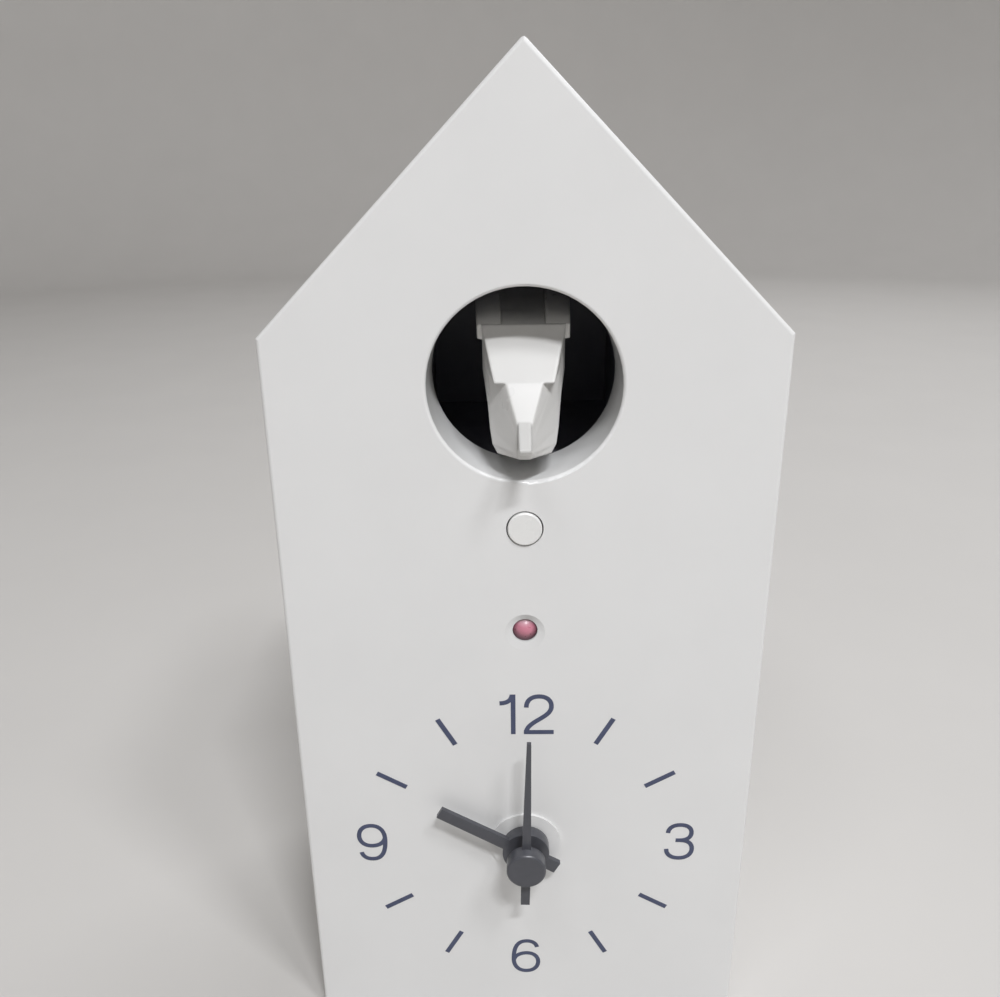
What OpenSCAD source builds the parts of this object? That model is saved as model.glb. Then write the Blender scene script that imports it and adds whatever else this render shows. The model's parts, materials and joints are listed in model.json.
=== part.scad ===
// House-shaped cuckoo clock: a moulded white house with a round bird hole, a dial printed
// on its front, a bird that a small rack drive pushes out of the hole, and a quartz movement.
// Millimetres. The origin is the middle of the base, +Z is up and the front faces -Y.

/* [House] */
// Outside width of the house
case_w = 120; // [116:1:140]
// Height from the base to the ridge
case_h = 260; // [240:1:300]
// Depth from the front face to the back cover's face
case_d = 95; // [95:1:120]
// Slope of the roof above the horizontal
roof_angle = 45; // [42:0.5:48]
// Thickness of the side, roof and bottom walls
wall = 2.5; // [2:0.1:3.5]
// Thickness of the front wall
front_wall = 3; // [2.5:0.1:3.4]
// Radius of the outside edges
edge_r = 1; // [0.5:0.1:2]
// Thickness of the back cover
cover_t = 3; // [2.5:0.1:4]

/* [Front] */
// Height of the hands' axis above the base
dial_z = 61; // [60:0.5:66]
// Distance of the bird hole's axis below the ridge
hole_drop = 71.6; // [70:0.2:76]
// Radius of the bird hole
hole_r = 22.4; // [20:0.1:24]
// Depth of the tunnel that the hole runs into
tunnel_d = 18.2; // [16:0.1:20]
// Distance of the push button's axis below the hole's axis
button_drop = 34.4; // [33:0.2:36]
// Radius of the push button's cap
button_r = 4.15; // [3.5:0.05:5]
// Distance of the light sensor's axis below the hole's axis
sensor_drop = 62.4; // [58:0.2:66]
// Radius of the light sensor's lens
lens_r = 3.1; // [2.5:0.1:4]

/* [Hands] */
// Length of the minute hand from its axis to its tip
minute_l = 38; // [30:0.5:42]
// Length of the hour hand from its axis to its tip
hour_l = 26.6; // [20:0.2:32]
// Radius of the minute hand's hub
minute_hub_r = 5.2; // [4:0.1:6.5]
// Radius of the hour hand's hub
hour_hub_r = 6.3; // [5.8:0.1:8]
// Hour that the hour hand points to
hour_shown = 10; // [0:1:11]
// Minute that the minute hand points to
minute_shown = 0.2; // [0:0.2:59.8]

/* [Bird] */
// How far the bird draws back into the house
travel = 32; // [28:0.5:33]
// How far the beak stands out of the front
beak_out = 12.4; // [9:0.2:14]
// Length of the bird from its beak to its tail
bird_l = 58; // [54:1:60]

/* [Back] */
// Radius of the loudspeaker
speaker_r = 14; // [13:0.5:20]
// Distance of the wall hanger's seat below the ridge
hanger_drop = 50; // [44:1:56]
// Radius of a battery cell
cell_r = 7.1; // [6.8:0.05:7.25]
// Length of a battery cell over its nub
cell_l = 50.4; // [49:0.1:50.5]

/* [Hidden] */
$fn = 48;

// Places along the depth are measured inwards from the front face.
front_y = -case_d / 2;
back_in = case_d - cover_t;   // inner face of the back cover
eps = 0.01;                   // overlap that joins two solids of one piece
over = 1;                     // how far a cut runs past the face it opens
fit = 0.25;                   // clearance between two moulded pieces
running = 0.05;               // radial clearance of a shaft in its bore
seat = 0.02;                  // radial clearance of a fixed pin in its seat

// Screws: thread, core hole, clearance hole and head of the two sizes in use
screw_r = 1.2;
screw_hole_r = 1.6;
screw_head_r = 2.9;
screw_l = 12;
small_screw_r = 0.8;
small_hole_r = 1.1;
small_head_r = 1.9;
small_head_t = 1.3;
recess_t = 0.4;               // width of the slots of a cross recess
recess_deep = 0.6;

// House shell
hole_z = case_h - hole_drop;
button_z = hole_z - button_drop;
sensor_z = hole_z - sensor_drop;
collar_t = 2;                 // wall of the tunnel
boss_r = 3.6;                 // boss of a cover screw
boss_l = 22;
boss_bite = 0.6;              // how deep a boss sinks into the wall that carries it
core_l = boss_l - 4;          // depth of the core hole in a boss
cover_gap = 0.3;              // gap round the back cover
button_gap = 0.35;
ring_t = 1.6;                 // wall of the rings behind the button and the sensor
ring_l = 1;
dish_d = 1.2;                 // depth of the dish round the light sensor
dish_flare = 1.9;
rim_r = 0.8;                  // rounding of the hole's front edge
dial_boss_r = 9.6;            // low boss under the hands
dial_boss_t = 0.7;

// Bird housing
housing_w = 2 * (hole_r + collar_t + 2.6);   // inside width
housing_t = 2;
flange_d0 = tunnel_d - 4;     // front face of the housing's flange
flange_t = 2;
flange_d1 = flange_d0 + flange_t;
housing_floor = hole_z - hole_r - collar_t;  // inside floor
floor_low = housing_floor - housing_t;       // outside of the floor
housing_h = 50;
housing_top = housing_floor + housing_h;
housing_back = back_in - 7;   // inside back
flange_w = housing_w + 16;
ear_r = 2.6;                  // ears outside the chamber that take the slide frame's screws
ear_h = 8;
ear_bite = 0.6;
ear_x = housing_w / 2 + housing_t + ear_r - ear_bite;
ear_d = [flange_d1 + 12, housing_back - 10];
ear_screw_l = 7;
post_r = 3;
post_x = housing_w / 2 + 4.5;
post_z = [housing_floor + 4, housing_top - 6];
post_screw_l = 9;

// Slide frame under the housing's floor
frame_t = 1.6;
frame_low = floor_low - frame_t;
frame_half = ear_x + ear_r;
rod_r = 1.5;
rod_x = [-7.5, 3.5];
rod_z = floor_low - 6.5;
bearing_t = 4;
bearing_x = [-11, 6.2];
carriage_x = [-11, 7];
carriage_z = [rod_z - 4, rod_z + 4];
carriage_l = 24;
carriage_d = flange_d1 + bearing_t + 1.5;   // front end of the carriage at rest
carriage_lift = 0.3;          // carriage above the bearings' lower edge
stem_w = 8;
stem_l = 10;
stem_d = carriage_d + carriage_l / 2;
stem_gap = 0.8;
stem_fit = 0.05;
bird_seat = hole_z - 10;      // top of the stem, inside the bird
bird_screw_bite = 5;
tail_d = bird_l - beak_out;   // depth of the tail's end

// Rack drive
pressure = 25;
tooth_play = 0.1;
dedendum = 1.25;              // root of a tooth below the pitch line, in modules
rack_m = 0.8;
rack_teeth = 12;
gear_m = 0.5;
wheel_teeth = 36;
pinion_teeth = 10;
gear_gap = 0.05;              // centre distance beyond the pitch circles
rack_line = 9.8;              // the rack's pitch line
rack_h = 4;
rack_z = [rod_z + 0.5 - rack_h, rod_z + 0.5];
rack_gear_x = rack_line + rack_m * rack_teeth / 2 + gear_gap;
flange_to_gear = 4.6;         // the rack gear's axis behind the flange, with the bird out
rack_gear_d = flange_d1 + flange_to_gear + travel;
rack_reach = 4.3;             // rack beyond the mesh at each end of the travel
gear_step = gear_m * (wheel_teeth + pinion_teeth) / 2 + gear_gap;
middle_gear_d = rack_gear_d - gear_step;
motor_x = rack_gear_x - gear_step;
axle_r = 1;
axle_boss_r = 2;
axle_stand = 0.4;             // floor under an axle's end
gear_hub_r = 2.4;
wheel_t = 2.6;
wheel_gap = 1.2;              // height between the two wheels
tooth_over = 0.3;             // pinion beyond its wheel, top and bottom
spoke_at = 5.6;               // lightening holes of a wheel
spoke_r = 1.5;
spokes = 5;
wheel_z = carriage_z[0] - 1 - wheel_t;              // rack gear's wheel
middle_wheel_z = wheel_z - wheel_gap - wheel_t;     // middle gear's wheel
deck_t = 2;
deck_z = middle_wheel_z - 1.5 - deck_t;      // underside of the gear plate
deck_top = deck_z + deck_t;
deck_beside = [-18, 15];      // plate left of the middle and right of the rack gear's axis
deck_beyond = [17, 13];       // plate before the motor's axis and behind the rack gear's
deck_x = [deck_beside[0], rack_gear_x + deck_beside[1]];
deck_d = [middle_gear_d - deck_beyond[0], rack_gear_d + deck_beyond[1]];
pillar_r = 2.8;
pillar_in = 3.5;              // pillars from the plate's edges
pillar_core_l = 8;
pillars = [for (x = [deck_x[0] + pillar_in, deck_x[1] - pillar_in],
                d = [deck_d[0] + pillar_in, deck_d[1] - pillar_in]) [x, d]];
motor_r = 10;
motor_flat = 7.6;             // half the motor's width over its flats
motor_l = 22;
motor_collar = [3.1, 1.2];    // radius and height of its bearing collars
motor_shaft_r = 0.75;
motor_shaft_in = 8;
motor_screw_at = [for (s = [-1, 1]) [motor_x + s * 6.5, middle_gear_d]];
motor_screw_bite = 2.5;
lug = [1.8, 0.5, 2.5];        // solder lug

// Quartz movement
move_w = 56;
move_d0 = front_wall;
move_t = 16;
move_back = move_d0 + move_t;
move_split = move_d0 + 8;     // joint of its two halves
move_wall = 1.2;
bush_r = 3.5;                 // threaded bush through the front wall
bush_out = dial_boss_t + 2.2;
tube_r = 2.5;                 // hour tube
arbor_r = 1.6;                // centre arbor
arbor_boss_l = 4;             // its bearing in the movement's back
set_boss_l = 3;               // bearing of the setting knob's shaft
motion_m = 0.5;
hour_m = 0.48;
cannon_teeth = 12;
minute_teeth = 36;
minute_pinion_teeth = 10;
hour_teeth = 40;
motion_step = motion_m * (cannon_teeth + minute_teeth) / 2;
minute_bearing = 135;         // direction of the minute wheel from the hands' axis
set_bearing = 45;             // direction of the setting pinion from the minute wheel
minute_at = [cos(minute_bearing), sin(minute_bearing)] * motion_step + [0, dial_z];
set_at = minute_at + [cos(set_bearing), sin(set_bearing)] * motion_step;
hour_wheel_d = move_d0 + 2.2;
hour_wheel_t = 2;
cannon_d = hour_wheel_d + 3.2;
cannon_t = 2.2;
cannon_end = cannon_d + cannon_t;
stud_r = 0.9;                 // arbor of the minute wheel
stud_boss_r = 2;
stud_floor = 0.4;             // wall left under its bearings
end_play = 0.3;               // a wheel from the bosses before and behind it
coil_at = [move_d0 + 9, dial_z - 22];        // depth and height of the coil's axis
coil_r = 3.6;
coil_l = 18;
core_r = 1.15;
pole_x = 14;                  // poles at the core's ends
pole_w = 5;
pole_h = 14.5;
move_board_w = 48;
move_board_h = 12;
move_board_t = 1;

// Hands
nut_af = 8;
nut_t = 1.8;
nut_r = nut_af / cos(30) / 2;
hub_gap = dial_boss_t + 0.3;  // back of the hour hub before the dial
hour_front = 4.6;             // front of the hour hand before the dial
hour_t = 1.4;
hour_w = [3.6, 3.1];          // width at the tail and at the tip
hour_tail = 9.8;
minute_back = 7.6;
minute_t = 3.9;
minute_front = minute_back + minute_t;
hub_edge = 0.4;               // bevel of the minute hub
minute_blade_t = 1.2;
hub_skin = 0.8;               // front of the hub over the arbor's end
minute_w = [2.4, 2.6, 1.1];   // width at the tail, the axis and the tip
minute_tail = 13.5;

// Control board
board_d = front_wall + 6;
board_t = 1.6;
board_back = board_d + board_t;
board_w = 44;
board_z = [sensor_z - 8, button_z + 6];
board_post_x = board_w / 2 - 4;
board_post_z = [board_z[0] + 3.5, board_z[1] - 12];
board_screw_l = 5.5;
chip = [12, 2, 10];           // sound chip
capacitor = [3, 9];           // radius and height
plug_socket = [13, 5, 4];
switch_body = [6, 2.6, 6];    // tactile switch behind the button
plunger_r = 1.7;
plunger_l = 0.9;
press = 0.6;                  // travel of the push button
press_gap = 0.1;
cap_out = 0.6;                // button before the front face
cap_edge = 0.3;
cap_t = 1.8;
cap_wall = 1.4;
cap_lip = [1.2, 0.8];         // its flange behind the front wall: width and thickness
lens_flange = [1.2, 0.8];
lens_dome_r = 7.3;
lens_dome_t = 0.8;
sensor_r = 2.4;

// Loudspeaker and its slots
slot_w = 2;
slot_pitch = 4;
slot_reach = speaker_r - 2.5;
slot_rows = floor(slot_reach / slot_pitch);
speaker_t = 9.5;
speaker_rim = [2.2, 1.5];     // width and thickness of its rim
basket_t = 5;
basket_r = 7;                 // bottom of the basket
basket_sheet = 0.8;
basket_hole_r = 2;
magnet_r = 7.5;
magnet_edge = 0.5;
paper = 0.4;                  // thickness of the moving cone
neck = [3, 3.4];              // radius and depth where the cone meets the coil
dome = [2.2, 2.5];            // depth of the dust cap at its middle and half way out
surround_w = 1.9;
seat_t = 1.8;                 // ring round the speaker
speaker_boss_r = 2.4;
speaker_screw_l = 3.4;
speaker_head = [3.9, 0.8];    // wide heads that hold the speaker's rim

// Setting knob and its well
knob_r = 8;
knob_t = 5;
knob_grooves = 18;
groove_r = 0.8;
well_r = knob_r + 3;
well_d = 6.5;
well_floor = case_d - well_d;
knob_up = 1;                  // knob above the well's floor
knob_shaft_r = 2;
speaker_z = (set_at[1] + well_r + seat_t + carriage_z[0]) / 2;
speaker_screw_at = [for (s = [-1, 1]) [s * (speaker_r + 3.2), speaker_z]];

// Battery bay and door
cells = 3;
cell_gap = 0.6;
cell_pitch = 2 * cell_r + cell_gap;
cell_edge = 0.6;
nub_l = 1.3;
nub_r = 2.7;
bay_w = cell_l + 8;
bay_z0 = 14;
bay_h = cells * cell_pitch + 0.4;
bay_wall = 1.8;
door_t = 2;
door_over = 3;                // door beyond the bay's opening
door_gap = 0.2;
door_h = bay_h + 2 * door_over;
door_w = bay_w + 2 * door_over;
door_z0 = bay_z0 - door_over;
bay_depth = 2 * cell_r + 0.8;
bay_d0 = case_d - door_t - bay_depth;
contact_w = 10;
contact_t = [1, 0.6];         // plate at the nub and plate behind the spring
contact_gap = 0.2;            // nub from its contact's plate
knuckle_r = 1.3;              // rounded foot of the battery door
door_axis_d = case_d - knuckle_r;
door_axis_z = door_z0 + knuckle_r + door_gap;
pin_r = 0.8;                  // trunnions of the battery door
pin_l = 2.5;
grip_w = 18;                  // finger grooves of the door
grip_t = 1;
grip_pitch = 2.2;
tongue_x = 11;                // slots beside the door's snap tongue
tongue_l = 9;

// Volume switch and hanger
volume_travel = 2;
slider = [4, 3];
slider_in = 3.3;              // slider's foot inside the house
switch_at = [case_w / 2 - 26, set_at[1]];
switch_slot = [slider[0] + 2 * volume_travel + 1, slider[1] + 0.6];
switch_can = [16, 6, 8];
switch_mouth = [10, 3.5, 3.2];
hanger_z = case_h - hanger_drop;
key_r = 4.3;
key_slot = 4.4;
key_drop = 9;

// ---------- shared shapes ----------

// Draws its outline, given in x and z, as a plate between two depths
module plate(d0, d1)
    translate([0, front_y + d1, 0]) rotate([90, 0, 0]) linear_extrude(d1 - d0) children();

// A round bar along the depth
module bar(at, d0, d1, r)
    translate([at[0], front_y + d1, at[1]]) rotate([90, 0, 0]) cylinder(h = d1 - d0, r = r);

// A cone along the depth, of radius r0 at d0 and r1 at d1
module cone(at, d0, d1, r0, r1)
    translate([at[0], front_y + d0, at[1]]) rotate([-90, 0, 0])
        cylinder(h = d1 - d0, r1 = r0, r2 = r1);

// A box between two corners, each [x, depth, z]
module block(a, b) translate([a[0], front_y + a[1], a[2]]) cube(b - a);

// A box of a size, centred in x and z on a point and starting at depth d
module box_at(at, d, size)
    translate([at[0] - size[0] / 2, front_y + d, at[1] - size[2] / 2]) cube(size);

// A round bar upwards at [x, depth]
module post_up(at, z0, z1, r)
    translate([at[0], front_y + at[1], z0]) cylinder(h = z1 - z0, r = r);

// A round bar along x, centred on the clock, at [depth, z]
module across(length, at, r)
    translate([-length / 2, front_y + at[0], at[1]]) rotate([0, 90, 0])
        cylinder(h = length, r = r);

// What follows is mirrored front to back about the depth d
module mirrored_at(d) translate([0, 2 * (front_y + d), 0]) mirror([0, 1, 0]) children();

// A slot outline with round ends along x
module stadium(length, width) {
    square([length - width, width], center = true);
    for (s = [-1, 1]) translate([s * (length - width) / 2, 0]) circle(d = width);
}

// The house outline's corners moved inwards by i, anticlockwise from the lower left
function house(i) =
    let (
        half = case_w / 2 - i,
        top = case_h - i / cos(roof_angle),
        eave = top - half * tan(roof_angle)
    )
    [[-half, i], [half, i], [half, eave], [0, top], [-half, eave]];

function unit(v) = v / norm(v);
function outward(a, b) = let (e = unit(b - a)) [e[1], -e[0]];
function heading(v) = atan2(v[1], v[0]);

// A convex outline with its corners rounded to radius r in steps of n
function rounded(p, r, n = 5) = [
    for (i = [0:len(p) - 1])
        let (
            a = p[(i + len(p) - 1) % len(p)], b = p[i], c = p[(i + 1) % len(p)],
            to_a = unit(a - b), to_c = unit(c - b),
            middle = b + unit(to_a + to_c) * r / sin(acos(to_a * to_c) / 2),
            from = heading(outward(a, b)), turn = (heading(outward(b, c)) - from + 360) % 360
        )
        for (k = [0:n]) middle + r * [cos(from + turn * k / n), sin(from + turn * k / n)]
];

// What a quarter round of radius r takes off the front edge that runs from a to b
module edge_cut(a, b, r) {
    length = norm(b - a) + 4 * r;
    middle = (a + b) / 2;
    translate([middle[0], front_y, middle[1]])
        rotate([0, -heading(b - a), 0])
            rotate([90, 0, 90])
                linear_extrude(length, center = true)
                    difference() {
                        translate([-over, -r - over]) square([r + over, r + over + r]);
                        translate([r, r]) circle(r);
                        translate([r, -r - 2 * over]) square([r, 2 * r + 4 * over]);
                    }
}

// What rounding the front edge of a hole of radius r to radius e takes off
module rim_cut(at, r, e)
    translate([at[0], front_y, at[1]]) rotate([90, 0, 0]) rotate_extrude() difference() {
        translate([r - over, -e]) square([over + e, e + over]);
        translate([r + e, -e]) circle(e);
        translate([r - 2 * over, -e - over]) square([2 * over - eps, 3 * over + e]);
    }

// ---------- gears ----------

function involute(base, r) = r <= base ? 0 : let (a = acos(base / r)) tan(a) * 180 / PI - a;

// The outline of a spur gear, a tooth pointing along +x
function gear_outline(teeth, m, steps = 4) =
    let (
        pitch_r = teeth * m / 2, base = pitch_r * cos(pressure),
        tip = pitch_r + m, root = pitch_r - dedendum * m, start = max(base, root),
        half = 90 / teeth - tooth_play / 2 / pitch_r * 180 / PI + involute(base, pitch_r),
        flank = [for (k = [0:steps])
            let (r = start + (tip - start) * k / steps) [r, half - involute(base, r)]],
        side = concat(root < base ? [[root, half]] : [], flank),
        count = len(side)
    )
    [for (t = [0:teeth - 1], s = [-1, 1], k = [0:count - 1])
        let (q = side[s < 0 ? k : count - 1 - k], a = 360 * t / teeth + s * q[1])
        q[0] * [cos(a), sin(a)]];

// The turn of gear b so that it meshes with gear a, which is turned by phase and sees b
// in the direction to_b
function mesh_turn(teeth_a, phase, teeth_b, to_b) =
    to_b + 180 - 180 / teeth_b - teeth_a / teeth_b * (phase - to_b);

module gear(teeth, m, turn) rotate(turn) polygon(gear_outline(teeth, m));

// One rack tooth that points along +x from its root
module rack_tooth(m) {
    half = PI * m / 4 - tooth_play / 2;
    lean = tan(pressure);
    root = dedendum * m;
    polygon([
        [-root - eps, -half - root * lean], [m, -half + m * lean],
        [m, half - m * lean], [-root - eps, half + root * lean]
    ]);
}

// The wheel of a rack drive gear, with its lightening holes, from height z
module wheel(z, turn) translate([0, 0, z]) linear_extrude(wheel_t) difference() {
    gear(wheel_teeth, gear_m, turn);
    for (k = [0:spokes - 1]) rotate(360 * (k + 0.5) / spokes) translate([spoke_at, 0]) circle(spoke_r);
}

// ---------- screws ----------

// A countersunk screw whose head ends at depth d and whose tip points to the front
module sunk_screw(at, d, length, r, head_r) {
    difference() {
        union() {
            cone(at, d - head_r + r, d, r, head_r);
            bar(at, d - length, d - head_r + r + eps, r);
        }
        cross_recess(at, d, head_r);
    }
}

// A pan head screw; its head starts at depth d and its thread runs towards the front
module pan_screw(at, d, length, r, head_r, head_t) {
    difference() {
        union() {
            bar(at, d, d + head_t, head_r);
            bar(at, d - length, d + eps, r);
        }
        cross_recess(at, d + head_t, head_r);
    }
}

// The cross recess in a screw head that faces the back
module cross_recess(at, d, width)
    for (turn = [0, 90])
        translate([at[0], front_y + d, at[1]]) rotate([0, turn, 0])
            translate([-width / 2, -recess_deep, -recess_t / 2])
                cube([width, recess_deep + over, recess_t]);

// A small pan head screw at height z whose tip points upwards, or downwards for up = false
module upright_screw(at, z, length, up)
    translate([at[0], front_y + at[1], z]) mirror([0, 0, up ? 0 : 1]) difference() {
        union() {
            translate([0, 0, -small_head_t]) cylinder(h = small_head_t, r = small_head_r);
            translate([0, 0, -eps]) cylinder(h = length, r = small_screw_r);
        }
        for (turn = [0, 90])
            rotate(turn) translate([-small_head_r / 2, -recess_t / 2, -small_head_t - over])
                cube([small_head_r, recess_t, over + recess_deep]);
    }

// ---------- house ----------

cover_screw_at = house(wall + boss_r - boss_bite);
board_post_at = [for (x = [-1, 1], z = board_post_z) [x * board_post_x, z]];
housing_post_at = [for (x = [-1, 1], z = post_z) [x * post_x, z]];

module front_shell() color([0.86, 0.86, 0.84]) difference() {
    union() {
        difference() {
            plate(0, case_d) polygon(rounded(house(0), edge_r));
            plate(front_wall, case_d + over) polygon(rounded(house(wall), edge_r));
            outline = house(0);
            for (i = [0:4]) edge_cut(outline[i], outline[(i + 1) % 5], edge_r);
        }
        bar([0, dial_z], -dial_boss_t, eps, dial_boss_r);
        bar([0, hole_z], front_wall - eps, tunnel_d, hole_r + collar_t);
        bar([0, button_z], front_wall - eps, front_wall + ring_l, button_r + button_gap + ring_t);
        bar([0, sensor_z], front_wall - eps, front_wall + ring_l, lens_r + ring_t);
        for (p = cover_screw_at) bar(p, back_in - boss_l, back_in, boss_r);
        for (p = board_post_at) bar(p, front_wall - eps, board_d, post_r);
        for (p = housing_post_at) bar(p, front_wall - eps, flange_d0, post_r);
    }
    bar([0, hole_z], -over, tunnel_d + over, hole_r);
    rim_cut([0, hole_z], hole_r, rim_r);
    bar([0, button_z], -over, front_wall + ring_l + over, button_r + button_gap);
    bar([0, sensor_z], -over, front_wall + ring_l + over, lens_r + running);
    cone([0, sensor_z], -eps, dish_d, lens_r + dish_flare, lens_r);
    bar([0, dial_z], -dial_boss_t - over, front_wall + over, bush_r + running);
    for (p = cover_screw_at) bar(p, back_in - core_l, back_in + over, screw_r);
    for (p = board_post_at) bar(p, front_wall + 1, board_d + over, small_screw_r);
    for (p = housing_post_at) bar(p, front_wall + 2, flange_d0 + over, small_screw_r);
}

module speaker_slots()
    for (k = [-slot_rows:slot_rows])
        let (z = k * slot_pitch, half = sqrt(pow(slot_reach, 2) - z * z))
        if (half > slot_w) translate([0, speaker_z + z]) stadium(2 * half, slot_w);

// The hanger's slot and the hole under it that passes a screw head
module keyhole() {
    translate([0, hanger_z]) circle(d = key_slot);
    translate([-key_slot / 2, hanger_z - key_drop]) square([key_slot, key_drop]);
    translate([0, hanger_z - key_drop]) circle(key_r);
}

module back_cover() color([0.84, 0.84, 0.82]) {
    seat_d = back_in - speaker_rim[1];
    difference() {
        union() {
            plate(back_in, case_d) polygon(rounded(house(wall + cover_gap), edge_r));
            block([-bay_w / 2 - bay_wall, bay_d0 - bay_wall, bay_z0 - bay_wall],
                  [bay_w / 2 + bay_wall, back_in + eps, bay_z0 + bay_h + bay_wall]);
            bar(set_at, well_floor - bay_wall, back_in + eps, well_r + bay_wall);
            difference() {
                union() {
                    bar([0, speaker_z], seat_d, back_in + eps, speaker_r + fit + seat_t);
                    for (p = speaker_screw_at) bar(p, seat_d, back_in + eps, speaker_boss_r);
                }
                bar([0, speaker_z], seat_d - over, back_in, speaker_r + fit);
            }
        }
        // battery bay, its door's seat and the sockets of the door's trunnions
        block([-bay_w / 2, bay_d0, bay_z0], [bay_w / 2, case_d + over, bay_z0 + bay_h]);
        block([-door_w / 2, case_d - door_t, door_z0],
              [door_w / 2, case_d + over, door_z0 + door_h]);
        across(door_w, [door_axis_d, door_axis_z], knuckle_r + door_gap);
        across(door_w + 2 * pin_l, [door_axis_d, door_axis_z], pin_r + running);
        // well and hole of the setting knob
        bar(set_at, well_floor, case_d + over, well_r);
        bar(set_at, well_floor - bay_wall - over, case_d, knob_shaft_r + fit);
        plate(back_in - over, case_d + over) {
            speaker_slots();
            keyhole();
            translate(switch_at) square([switch_slot[0], switch_slot[1]], center = true);
        }
        for (p = cover_screw_at) {
            bar(p, back_in - over, case_d + over, screw_hole_r);
            cone(p, case_d - screw_head_r + screw_r, case_d + eps,
                 screw_hole_r, screw_hole_r + screw_head_r - screw_r);
        }
        for (p = speaker_screw_at)
            bar(p, seat_d - over, seat_d + speaker_screw_l + fit, small_screw_r);
    }
}

module cover_screws() color("silver")
    for (p = cover_screw_at) sunk_screw(p, case_d, screw_l, screw_r, screw_head_r);

// ---------- bird housing and its slide ----------

// The closed chamber behind the tunnel
module chamber() {
    half = housing_w / 2;
    difference() {
        block([-half - housing_t, flange_d0 + eps, floor_low],
              [half + housing_t, housing_back + housing_t, housing_top + housing_t]);
        block([-half, flange_d0 - over, housing_floor], [half, housing_back, housing_top]);
    }
}

// Ways that the bird's stem needs through the floor and the frame below it
module stem_slot()
    block([-stem_w / 2 - stem_gap, stem_d - stem_l / 2 - stem_gap, frame_low - over],
          [stem_w / 2 + stem_gap, stem_d + stem_l / 2 + travel + stem_gap, housing_floor + over]);

frame_screw_at = [for (s = [-1, 1], d = ear_d) [s * ear_x, d]];

module bird_housing() color([0.07, 0.07, 0.08]) difference() {
    union() {
        block([-flange_w / 2, flange_d0, floor_low],
              [flange_w / 2, flange_d1, housing_top + housing_t]);
        chamber();
        for (p = frame_screw_at) post_up(p, floor_low, floor_low + ear_h, ear_r);
    }
    bar([0, hole_z], flange_d0 - over, flange_d1 + over, hole_r + collar_t + fit);
    stem_slot();
    for (p = housing_post_at) bar(p, flange_d0 - over, flange_d1 + over, small_hole_r);
    for (p = frame_screw_at) post_up(p, floor_low - over, floor_low + ear_screw_l, small_screw_r);
}

module housing_screws() color("silver")
    for (p = housing_post_at)
        pan_screw(p, flange_d1, post_screw_l, small_screw_r, small_head_r, small_head_t);

// The frame that carries the guide rods and, on its pillars, the gear plate
module slide_frame() color([0.10, 0.10, 0.11]) difference() {
    axle_low = carriage_z[1] - 1;
    union() {
        block([-frame_half, flange_d1, frame_low],
              [frame_half, housing_back + housing_t, floor_low]);
        for (d = [flange_d1, housing_back + housing_t - bearing_t])
            block([bearing_x[0], d, carriage_z[0]], [bearing_x[1], d + bearing_t, frame_low + eps]);
        for (p = pillars) post_up(p, deck_top, frame_low + eps, pillar_r);
        post_up([rack_gear_x, rack_gear_d], axle_low, frame_low + eps, gear_hub_r);
    }
    stem_slot();
    for (x = rod_x) bar([x, rod_z], flange_d1 - over, case_d, rod_r + seat);
    for (p = frame_screw_at) post_up(p, frame_low - over, floor_low + over, small_hole_r);
    for (p = pillars) post_up(p, deck_top - over, deck_top + pillar_core_l, small_screw_r);
    post_up([rack_gear_x, rack_gear_d], axle_low - over, floor_low - axle_stand, axle_r + seat);
}

module frame_screws() color("silver")
    for (p = frame_screw_at) upright_screw(p, frame_low, ear_screw_l, true);

module guide_rods() color("silver")
    for (x = rod_x) bar([x, rod_z], flange_d1, housing_back + housing_t, rod_r);

module gear_plate() color([0.10, 0.10, 0.11]) {
    axles = [for (d = [rack_gear_d, middle_gear_d]) [rack_gear_x, d]];
    difference() {
        union() {
            block([deck_x[0], deck_d[0], deck_z], [deck_x[1], deck_d[1], deck_top]);
            for (p = axles) post_up(p, deck_top - eps, deck_top + 1, axle_boss_r);
        }
        post_up([motor_x, middle_gear_d], deck_z - over, deck_top + over, motor_collar[0] + fit);
        for (p = axles) post_up(p, deck_z + axle_stand, deck_top + 1 + over, axle_r + seat);
        for (p = concat(pillars, motor_screw_at))
            post_up(p, deck_z - over, deck_top + over, small_hole_r);
    }
}

module plate_screws() color("silver")
    for (p = pillars) upright_screw(p, deck_z, pillar_core_l, true);

module motor_screws() color("silver")
    for (p = motor_screw_at) upright_screw(p, deck_top, deck_t + motor_screw_bite, false);

module gear_axles() color("silver") {
    post_up([rack_gear_x, rack_gear_d], deck_z + axle_stand, floor_low - axle_stand, axle_r);
    post_up([rack_gear_x, middle_gear_d], deck_z + axle_stand, wheel_z + wheel_t + 1.4, axle_r);
}

module drive_motor() color([0.62, 0.63, 0.65]) difference() {
    at = [motor_x, middle_gear_d];
    low = deck_z - motor_l;
    union() {
        intersection() {
            post_up(at, low, deck_z, motor_r);
            block([motor_x - motor_r, middle_gear_d - motor_flat, low],
                  [motor_x + motor_r, middle_gear_d + motor_flat, deck_z]);
        }
        post_up(at, deck_z - eps, deck_z + motor_collar[1], motor_collar[0]);
        post_up(at, low - motor_collar[1], low + eps, motor_collar[0]);
        for (s = [-1, 1])
            block([motor_x + s * motor_r / 2 - lug[0] / 2, middle_gear_d - lug[1] / 2, low - lug[2]],
                  [motor_x + s * motor_r / 2 + lug[0] / 2, middle_gear_d + lug[1] / 2, low + eps]);
    }
    post_up(at, deck_z - motor_shaft_in - over, deck_z + motor_collar[1] + over,
            motor_shaft_r + running);
    for (p = motor_screw_at) post_up(p, deck_z - motor_screw_bite, deck_z + over, small_screw_r);
}

// ---------- rack gears ----------

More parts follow.
